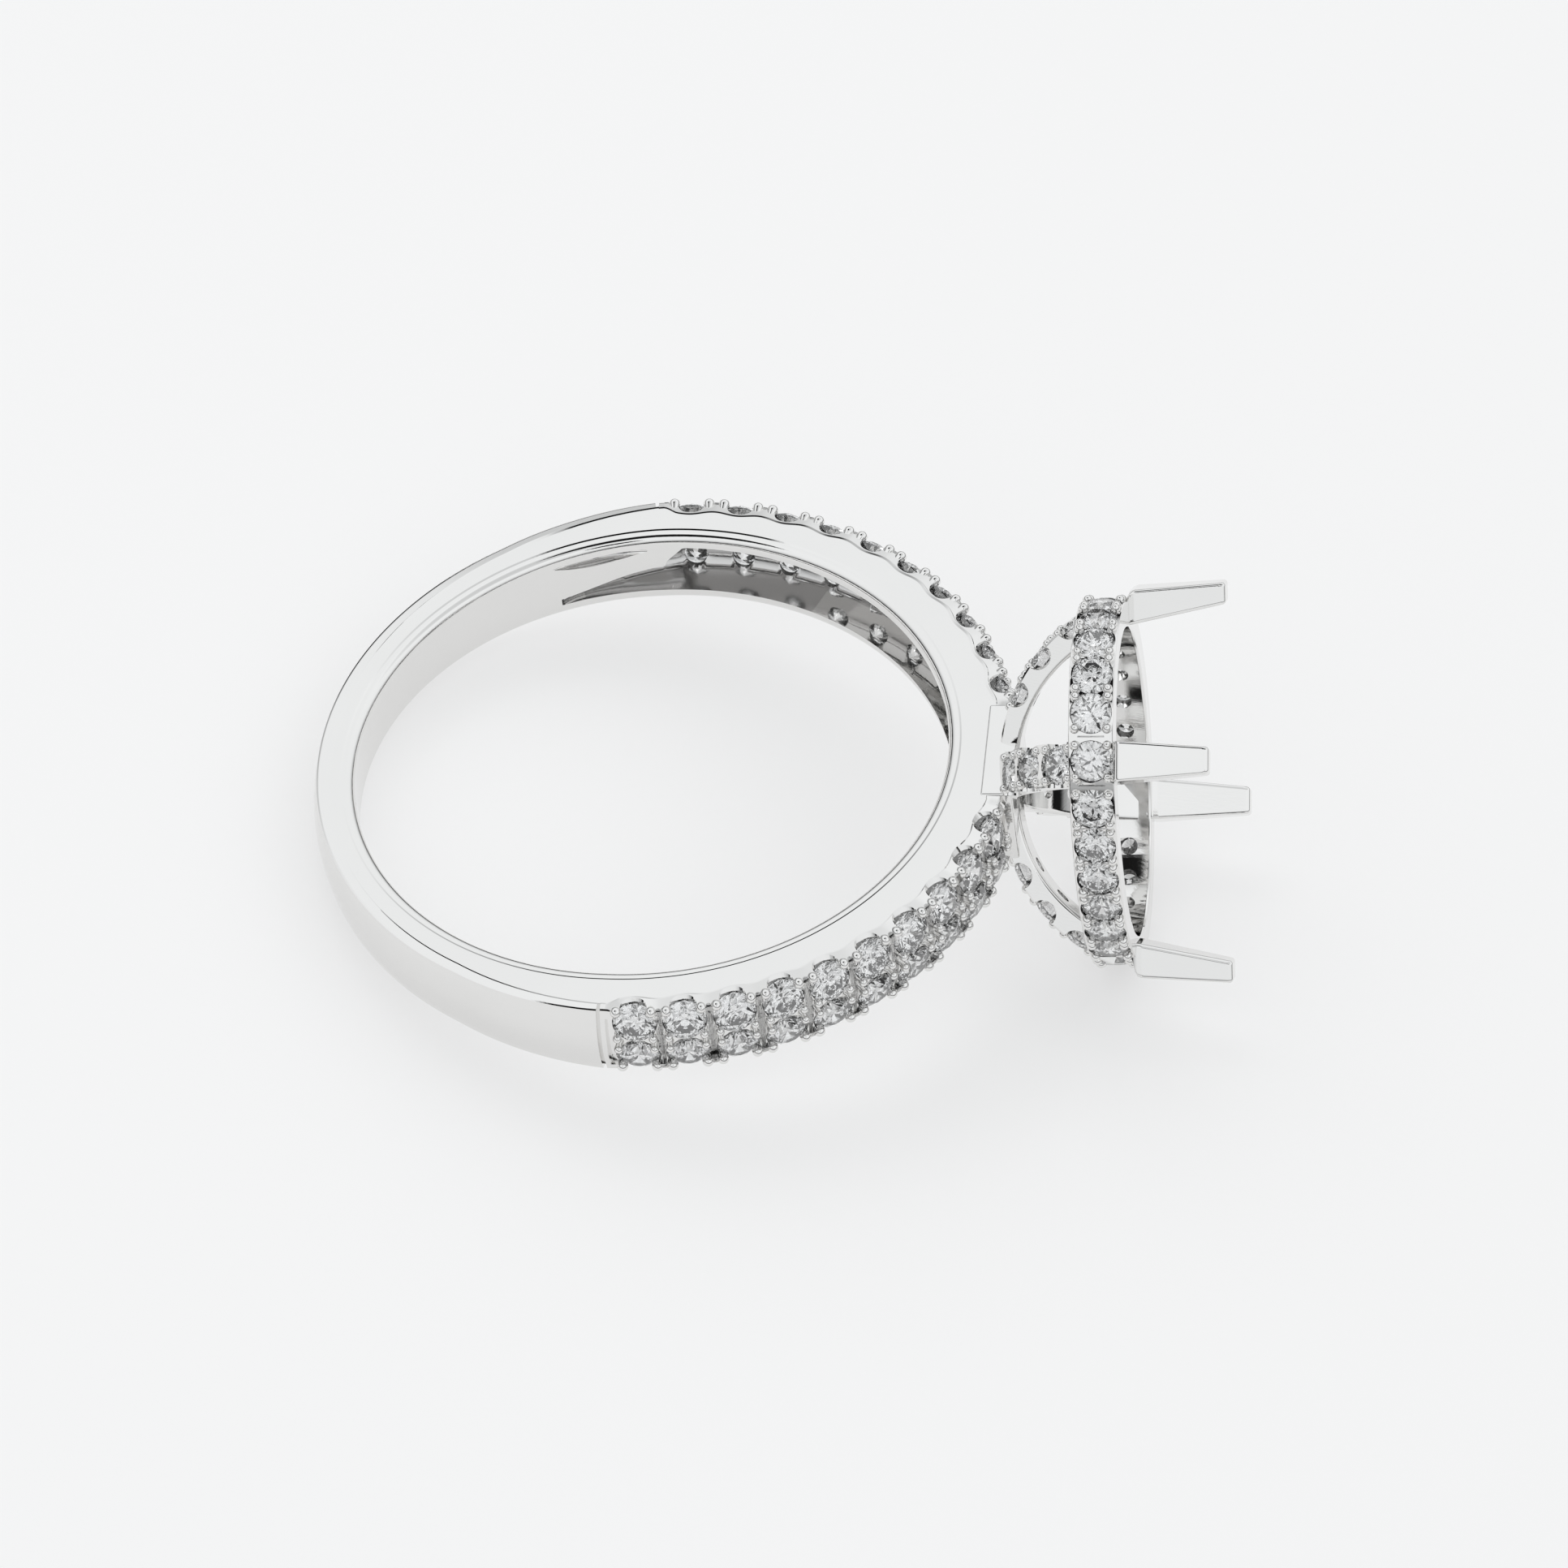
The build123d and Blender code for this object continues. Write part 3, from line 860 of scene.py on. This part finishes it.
def build_shank():
    """The band, cut for its stones."""
    bm = bmesh.new()
    skin(bm, [shank_row(angle) for angle in shank_angles()], around=True)
    piece = to_object(bm, "shank")
    for side in (1, -1):
        for tool in recess_tools(side):
            combine(piece, tool)
        for tool in shoulder_tools(side):
            combine(piece, tool)
    finish_piece(piece, metal(), ["ring_mount"])
    # The recess walls get a second metal, rougher and darker: its darker colour is painted shade.
    piece.data.materials.append(recess_metal_with_painted_shade())
    back = RING_PLACE.inverted()
    for face in piece.data.polygons:
        if in_recess(back @ face.center):
            face.material_index = 1


def bead_pair(bm, seat, kind, side):
    """Two equal grains on one side of a stone."""
    across, along, height, stem, share = kind
    radius = mm(bpy.context.scene.ring_sizes.bead) / 2
    for way in (-1, 1):
        bead(bm, seat, (side * across, way * along, height), radius * share, stem)


def build_shoulder_beads():
    """The grains that hold the shoulders' stones, four to a stone."""
    bm = bmesh.new()
    for side in (1, -1):
        for seat, row, _ in shoulder_seats(side):
            bead_pair(bm, seat, OUTER_BEAD, row)
            bead_pair(bm, seat, INNER_BEAD, row)
    piece = to_object(bm, "shoulder_beads")
    finish_piece(piece, metal(), ["ring_mount"], sharp=60.0)


def build_base():
    """The block on top of the shank that the arms spring from."""
    height = BASE_DROP + BASE_RISE
    wide = half_width(TOP_X) * 2 + 2 * BASE_PROUD
    bm = bmesh.new()
    place = Matrix.Translation((BASE_X + height / 2, 0, 0)) @ Matrix.Diagonal((height, BASE_SPAN, wide, 1))
    bmesh.ops.create_cube(bm, size=1.0, matrix=place)
    bmesh.ops.bevel(bm, geom=bm.edges[:], offset=0.07, segments=4, profile=0.5, affect="EDGES")
    piece = to_object(bm, "head_base")
    finish_piece(piece, metal(), ["ring_mount"])


def arm_section(outer, inner, half, edge):
    """A cross section of an arm, between a point of its outer side and one of its inner side."""
    across = (outer - inner).normalized()
    outer = outer - across * ARM_BED
    soft = edge * 0.4
    profile = (
        (inner, 0.0, half - edge), (inner, edge * 0.3, half - edge * 0.3), (inner, edge, half),
        (outer, -soft, half), (outer, 0.0, half - soft),
    )
    points = [(base + across * shift, height) for base, shift, height in profile]
    points += [(spot, -height) for spot, height in reversed(points)]
    return [Vector((spot.x, spot.y, height)) for spot, height in points]


def build_arms():
    """The four arms, with windows beside their stones."""
    outer = arm_curve(ARM_OUTER)
    inner = arm_curve(ARM_INNER)
    stone = mm(bpy.context.scene.ring_sizes.arm_stone)
    for number, arm in enumerate(ARM_FRAMES):
        bm = bmesh.new()
        rings = []
        for step in range(49):
            share = step / 48
            far = on_arc(outer, share)[0]
            near = on_arc(inner, share)[0]
            rings.append([arm @ p for p in arm_section(far, near, ARM_WIDTH / 2, ARM_EDGE)])
        skin(bm, rings)
        piece = to_object(bm, f"arm_{number + 1}")
        seats = bmesh.new()
        crossing = bmesh.new()
        spot = arm @ Vector((1, 0, 0))
        angle = atan2(spot.z / HALO_LENGTH, spot.y / HALO_WIDTH)
        seat_tool(crossing, halo_seat(angle), mm(bpy.context.scene.ring_sizes.halo_stone), 0.30, 0.75)
        windows = [bmesh.new(), bmesh.new()]
        for index, seat in enumerate(arm_seats(arm)):
            seat_tool(seats, seat, stone, 0.46, 2.2)
            for face in (1, -1):
                turn = Matrix.Rotation(radians(90 * face), 4, "Y")
                place = seat @ Matrix.Translation((0, 0, -0.10)) @ turn
                profile = ((0, 0.30), (0.34, 0.30), (0.42, 0.80), (0, 0.80))
                turned(windows[index % 2], profile, place, sides=32)
        for tool in [seats, crossing] + windows:
            combine(piece, tool)
        finish_piece(piece, metal(), ["ring_mount"])


def build_arm_beads():
    """The grains on the arms, in pairs between the stones."""
    bm = bmesh.new()
    for arm in ARM_FRAMES:
        for seat in arm_seats(arm):
            bead_pair(bm, seat, ARM_BEAD, -1)
            bead_pair(bm, seat, ARM_BEAD, 1)
    piece = to_object(bm, "arm_beads")
    finish_piece(piece, metal(), ["ring_mount"], sharp=60.0)


def build_halo():
    """The oval band, with its seats, culet holes and saw cuts."""
    bm = bmesh.new()
    half = HALO_BAND / 2
    edge = 0.09
    soft = 0.05
    rings = []
    count = 360
    for step in range(count):
        angle = 2 * pi * step / count
        normal = oval_normal(angle)
        out = oval(angle) - normal * HALO_BED
        into = oval(angle, HALO_WALL)

        def at(spot, shift, height, normal=normal):
            point = spot + normal * shift
            return Vector((HALO_X + height, point.x, point.y))

        ring = [
            at(out, -soft, half), at(out, -soft * 0.3, half - soft * 0.3), at(out, 0, half - soft),
            at(out, 0, 0), at(out, 0, soft - half), at(out, -soft * 0.3, soft * 0.3 - half),
            at(out, -soft, -half), at(into, edge, -half), at(into, edge * 0.3, edge * 0.3 - half),
            at(into, 0, edge - half), at(into, 0, 0), at(into, 0, half - edge),
            at(into, edge * 0.3, half - edge * 0.3), at(into, edge, half),
        ]
        rings.append(ring)
    skin(bm, rings, around=True)
    piece = to_object(bm, "halo_band")
    stone = mm(bpy.context.scene.ring_sizes.halo_stone)
    angles = halo_angles()
    seats = [bmesh.new(), bmesh.new()]
    slots = bmesh.new()
    outline = slot_outline(0.10)
    half_way = HALO_SIDE_COUNT + HALO_END_COUNT + 2
    crossings = (0, HALO_SIDE_COUNT + 1, half_way, half_way + HALO_SIDE_COUNT + 1)
    for index, angle in enumerate(angles):
        depth = 0.80 if index in crossings else 1.2
        seat_tool(seats[index % 2], halo_seat(angle), stone, 0.50, depth)
        after = angles[(index + 1) % len(angles)] + (2 * pi if index == len(angles) - 1 else 0)
        seat = halo_seat((angle + after) / 2)
        turn = Matrix.Rotation(radians(-90), 4, "Y")
        prism(slots, outline, seat @ Matrix.Translation((0, 0, -0.40)) @ turn, -0.38, 0.38)
    for tool in seats + [slots]:
        combine(piece, tool)
    finish_piece(piece, metal(), ["ring_mount"])


def build_halo_beads():
    """The grains round the halo, four to a stone."""
    bm = bmesh.new()
    for angle in halo_angles():
        bead_pair(bm, halo_seat(angle), HALO_BEAD, -1)
        bead_pair(bm, halo_seat(angle), HALO_BEAD, 1)
    piece = to_object(bm, "halo_beads")
    finish_piece(piece, metal(), ["ring_mount"], sharp=60.0)


def bar_section(out, height, width, wall, corner):
    """A cross section of a prong at a height: a rectangle with round corners."""
    w = width / 2
    points = []
    for x, z, first in ((-corner, w - corner, 0), (corner - wall, w - corner, 90),
                        (corner - wall, corner - w, 180), (-corner, corner - w, 270)):
        for step in range(5):
            around = radians(first + 90 * step / 4)
            points.append(Vector((out + x + corner * cos(around), height, z + corner * sin(around))))
    return points


def build_prongs():
    """The four tapered prongs that would hold the centre stone."""
    sizes = bpy.context.scene.ring_sizes
    tall = mm(sizes.prong_height)
    tip_width = mm(sizes.prong_tip)
    root = HALO_X + HALO_BAND / 2
    tip = HALO_X + tall
    out = CROSSING_RADIUS + PRONG_OUT
    soft = PRONG_ROUND
    bm = bmesh.new()
    for arm in ARM_FRAMES:
        stations = [
            (out - 0.50, root - 0.14, 1.06, 0.60, 0.09),
            (out - 0.42, root - 0.09, 1.10, 0.66, 0.09),
            (out - 0.18, root - 0.03, 1.15, 0.84, 0.10),
            (out - 0.05, root + 0.04, 1.17, 0.95, 0.10),
            (out, root + 0.14, 1.17, 0.99, 0.11),
            (out + 0.01, root + 0.20, 1.165, 0.99, 0.11),
            (out + 0.168, tip - 0.20, tip_width + 0.02, 0.66, 0.11),
        ]
        for step in range(6):
            around = radians(90 * step / 5)
            inset = soft * (1 - cos(around))
            place = tip - soft * (1 - sin(around))
            size = (tip_width - 2 * inset, 0.65 - 2 * inset, 0.112 - 0.9 * inset)
            stations.append((out + 0.18 - inset, place, *size))
        rings = [[arm @ p for p in bar_section(*station)] for station in stations]
        skin(bm, rings)
    piece = to_object(bm, "prongs")
    finish_piece(piece, metal(), ["ring_mount"], sharp=40.0)


def build_stones():
    """All cut stones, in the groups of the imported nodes."""
    sizes = bpy.context.scene.ring_sizes
    spin = radians(137.5)
    groups = {
        "far_shoulder_stones": ([s[0] for s in shoulder_seats(1)], sizes.shoulder_stone),
        "near_shoulder_stones": ([s[0] for s in shoulder_seats(-1)], sizes.shoulder_stone),
        "arm_stones": ([s for arm in ARM_FRAMES for s in arm_seats(arm)], sizes.arm_stone),
        "halo_stones": ([halo_seat(angle) for angle in halo_angles()], sizes.halo_stone),
    }
    for name, (seats, diameter) in groups.items():
        bm = bmesh.new()
        for index, seat in enumerate(seats):
            cut_stone(bm, seat @ Matrix.Rotation(spin * index, 4, "Z"), mm(diameter))
        piece = to_object(bm, name.replace("_stones", "_brilliants"))
        finish_piece(piece, stones(), [name], sharp=0.5, weighted=False)
        piece.data.shade_flat()


def build_stage():
    """A pale floor, a bright soft studio round it, and the camera."""
    finish = bpy.context.scene.ring_finish
    floor_mesh = bmesh.new()
    bmesh.ops.create_grid(floor_mesh, x_segments=1, y_segments=1, size=3.0)
    ground = to_object(floor_mesh, "floor")
    material = bpy.data.materials.new("Pale floor")
    material.use_nodes = True
    tree = material.node_tree
    shader = tree.nodes["Principled BSDF"]
    shader.inputs["Roughness"].default_value = 0.9
    shader.inputs["Specular IOR Level"].default_value = 0.0
    grain = node(tree, "ShaderNodeTexNoise", "Grain", (-700, 0), Scale=300.0)
    tint = node(tree, "ShaderNodeMix", "Floor tint", (-400, 0))
    tint.data_type = "RGBA"
    tint.inputs["A"].default_value = (*finish.floor_colour, 1.0)
    tint.inputs["B"].default_value = (*[c * 0.995 for c in finish.floor_colour], 1.0)
    tree.links.new(grain.outputs["Fac"], tint.inputs["Factor"])
    tree.links.new(tint.outputs["Result"], shader.inputs["Base Color"])
    shader.inputs["Emission Color"].default_value = (1.0, 1.0, 1.0, 1.0)
    shader.inputs["Emission Strength"].default_value = FLOOR_GLOW
    ground.data.materials.append(material)
    build_world()
    build_lights()
    build_camera()


def build_world():
    """White studio walls, brightest overhead, with dark cards that draw the edges of the metal."""
    world = bpy.data.worlds.new("Studio")
    bpy.context.scene.world = world
    world.use_nodes = True
    tree = world.node_tree
    back = tree.nodes["Background"]
    place = node(tree, "ShaderNodeTexCoord", "Direction", (-1100, 0))
    split = node(tree, "ShaderNodeSeparateXYZ", "Height", (-900, 100))
    ramp = node(tree, "ShaderNodeValToRGB", "Walls", (-700, 100))
    ramp.color_ramp.elements.remove(ramp.color_ramp.elements[1])
    for index, (spot, level) in enumerate(WALL_TONES):
        stop = ramp.color_ramp.elements[0] if index == 0 else ramp.color_ramp.elements.new(spot)
        stop.position = spot
        stop.color = (*[level * share for share in WALL_TINT], 1.0)
    link = tree.links.new
    link(place.outputs["Generated"], split.inputs["Vector"])
    link(split.outputs["Z"], ramp.inputs["Fac"])
    tone = ramp.outputs["Color"]
    for number, (turn, height, reach, soft, level) in enumerate(DARK_CARDS):
        turn, height = radians(turn), radians(height)
        facing = node(tree, "ShaderNodeVectorMath", "Card direction", (-700, -200 - 200 * number))
        facing.operation = "DOT_PRODUCT"
        facing.inputs[1].default_value = (cos(height) * sin(turn), cos(height) * cos(turn), sin(height))
        mask = node(tree, "ShaderNodeMapRange", "Card", (-500, -200 - 200 * number))
        mask.inputs["From Min"].default_value = cos(radians(reach + soft))
        mask.inputs["From Max"].default_value = cos(radians(reach))
        mix = node(tree, "ShaderNodeMix", "Hang the card", (-300, -200 - 200 * number))
        mix.data_type = "RGBA"
        mix.inputs["B"].default_value = (level, level, level, 1.0)
        link(place.outputs["Generated"], facing.inputs[0])
        link(facing.outputs["Value"], mask.inputs["Value"])
        link(mask.outputs["Result"], mix.inputs["Factor"])
        link(tone, mix.inputs["A"])
        tone = mix.outputs["Result"]
    link(tone, back.inputs["Color"])
    back.inputs["Strength"].default_value = 1.0
    bpy.context.scene.view_settings.view_transform = "Standard"


def aim(item, place, goal):
    """Turns a light so that it faces a point."""
    item.location = place
    item.rotation_euler = (Vector(place) - Vector(goal)).to_track_quat("Z", "Y").to_euler()


def build_lights():
    """One large soft lamp over the ring."""
    lamp = bpy.data.lights.new("soft_lamp", "AREA")
    lamp.shape = "RECTANGLE"
    lamp.size, lamp.size_y = LAMP_SIZE
    lamp.energy = LAMP_POWER
    item = bpy.data.objects.new("soft_lamp", lamp)
    bpy.context.scene.collection.objects.link(item)
    item.visible_glossy = False
    aim(item, LAMP_PLACE, (0.0, 0.0, 0.0))


def build_camera():
    """The camera at the photograph's angle to the ring."""
    turn, height, roll = radians(VIEW_TURN), radians(VIEW_HEIGHT), radians(VIEW_ROLL)
    back = Vector((cos(height) * sin(turn), -cos(height) * cos(turn), sin(height)))
    level = Vector((cos(turn), sin(turn), 0))
    steep = back.cross(level)
    right = level * cos(roll) + steep * sin(roll)
    up = back.cross(right)
    goal = right * VIEW_SIDE - up * VIEW_DROP
    lens = bpy.data.cameras.new("photo_camera")
    lens.sensor_width = 36.0
    lens.lens = lens.sensor_width * VIEW_DISTANCE / VIEW_WIDTH
    lens.clip_start = 0.05
    lens.clip_end = 20.0
    item = bpy.data.objects.new("photo_camera", lens)
    bpy.context.scene.collection.objects.link(item)
    rotation = RING_PLACE.to_3x3().normalized() @ Matrix((right, up, back)).transposed()
    place = RING_PLACE @ (goal + back * VIEW_DISTANCE)
    item.matrix_world = Matrix.Translation(place) @ rotation.to_4x4()
    bpy.context.scene.camera = item


# Panel, properties and operators


class RingSizes(bpy.types.PropertyGroup):
    """Sizes of the ring's details."""

    shoulder_stone: FloatProperty(
        name="Shoulder stone", description="Diameter of a stone on the shoulders",
        default=0.00125, min=0.0008, max=0.00138, precision=5, unit="LENGTH",
    )
    halo_stone: FloatProperty(
        name="Halo stone", description="Diameter of a stone round the halo",
        default=0.00117, min=0.0007, max=0.00119, precision=5, unit="LENGTH",
    )
    arm_stone: FloatProperty(
        name="Arm stone", description="Diameter of a stone on the arms",
        default=0.00114, min=0.0007, max=0.0012, precision=5, unit="LENGTH",
    )
    bead: FloatProperty(
        name="Bead", description="Diameter of a grain that holds a stone",
        default=0.00028, min=0.0001, max=0.0004, precision=5, unit="LENGTH",
    )
    prong_height: FloatProperty(
        name="Prong height", description="From the middle of the halo to a prong's tip",
        default=0.0034, min=0.001, max=0.0034, precision=5, unit="LENGTH",
    )
    prong_tip: FloatProperty(
        name="Prong tip", description="Width of a prong at its tip",
        default=0.00079, min=0.0004, max=0.001, precision=5, unit="LENGTH",
    )


class RingFinish(bpy.types.PropertyGroup):
    """Colours of the ring and of the floor under it."""

    metal_colour: FloatVectorProperty(
        name="Metal", description="Colour of the polished white gold",
        default=(0.82, 0.815, 0.805), size=3, min=0.0, max=1.0, subtype="COLOR",
    )
    # Darker than the metal: painted shade for the recess walls.
    painted_recess_shade_colour: FloatVectorProperty(
        name="Recess", description="Colour of the unpolished metal in the recesses",
        default=(0.62, 0.615, 0.61), size=3, min=0.0, max=1.0, subtype="COLOR",
    )
    stone_colour: FloatVectorProperty(
        name="Stones", description="Colour of the cut stones",
        default=(1.0, 1.0, 1.0), size=3, min=0.0, max=1.0, subtype="COLOR",
    )
    floor_colour: FloatVectorProperty(
        name="Floor", description="Colour of the floor",
        default=(0.44, 0.44, 0.44), size=3, min=0.0, max=1.0, subtype="COLOR",
    )


class RING_OT_shank(bpy.types.Operator):
    """Builds the band with its stone set shoulders"""

    bl_idname = "ring.shank"
    bl_label = "Shank and shoulders"

    def execute(self, context):
        build_shank()
        build_shoulder_beads()
        return {"FINISHED"}


class RING_OT_head(bpy.types.Operator):
    """Builds the base, the four arms and the oval halo"""

    bl_idname = "ring.head"
    bl_label = "Head"

    def execute(self, context):
        build_base()
        build_arms()
        build_arm_beads()
        build_halo()
        build_halo_beads()
        return {"FINISHED"}


class RING_OT_prongs(bpy.types.Operator):
    """Builds the four prongs for a centre stone"""

    bl_idname = "ring.prongs"
    bl_label = "Prongs"

    def execute(self, context):
        build_prongs()
        return {"FINISHED"}


class RING_OT_stones(bpy.types.Operator):
    """Builds every small cut stone"""

    bl_idname = "ring.stones"
    bl_label = "Stones"

    def execute(self, context):
        build_stones()
        return {"FINISHED"}


class RING_OT_stage(bpy.types.Operator):
    """Builds the floor, the studio light and the camera"""

    bl_idname = "ring.stage"
    bl_label = "Studio"

    def execute(self, context):
        build_stage()
        return {"FINISHED"}


class RING_PT_panel(bpy.types.Panel):
    """Lists the ring's pieces and sizes"""

    bl_label = "Semi mount ring"
    bl_idname = "RING_PT_panel"
    bl_space_type = "VIEW_3D"
    bl_region_type = "UI"
    bl_category = "Ring"

    def draw(self, context):
        for group in (context.scene.ring_sizes, context.scene.ring_finish):
            for name in group.__annotations__:
                self.layout.prop(group, name)
        for operator in OPERATORS:
            self.layout.operator(operator.bl_idname)


OPERATORS = (RING_OT_shank, RING_OT_head, RING_OT_prongs, RING_OT_stones, RING_OT_stage)
CLASSES = (RingSizes, RingFinish, *OPERATORS, RING_PT_panel)


def register():
    for cls in CLASSES:
        bpy.utils.register_class(cls)
    bpy.types.Scene.ring_sizes = PointerProperty(type=RingSizes)
    bpy.types.Scene.ring_finish = PointerProperty(type=RingFinish)


def unregister():
    del bpy.types.Scene.ring_finish
    del bpy.types.Scene.ring_sizes
    for cls in reversed(CLASSES):
        bpy.utils.unregister_class(cls)


def main():
    register()
    bpy.ops.ring.shank()
    bpy.ops.ring.head()
    bpy.ops.ring.prongs()
    bpy.ops.ring.stones()
    bpy.ops.ring.stage()


if __name__ == "__main__":
    main()
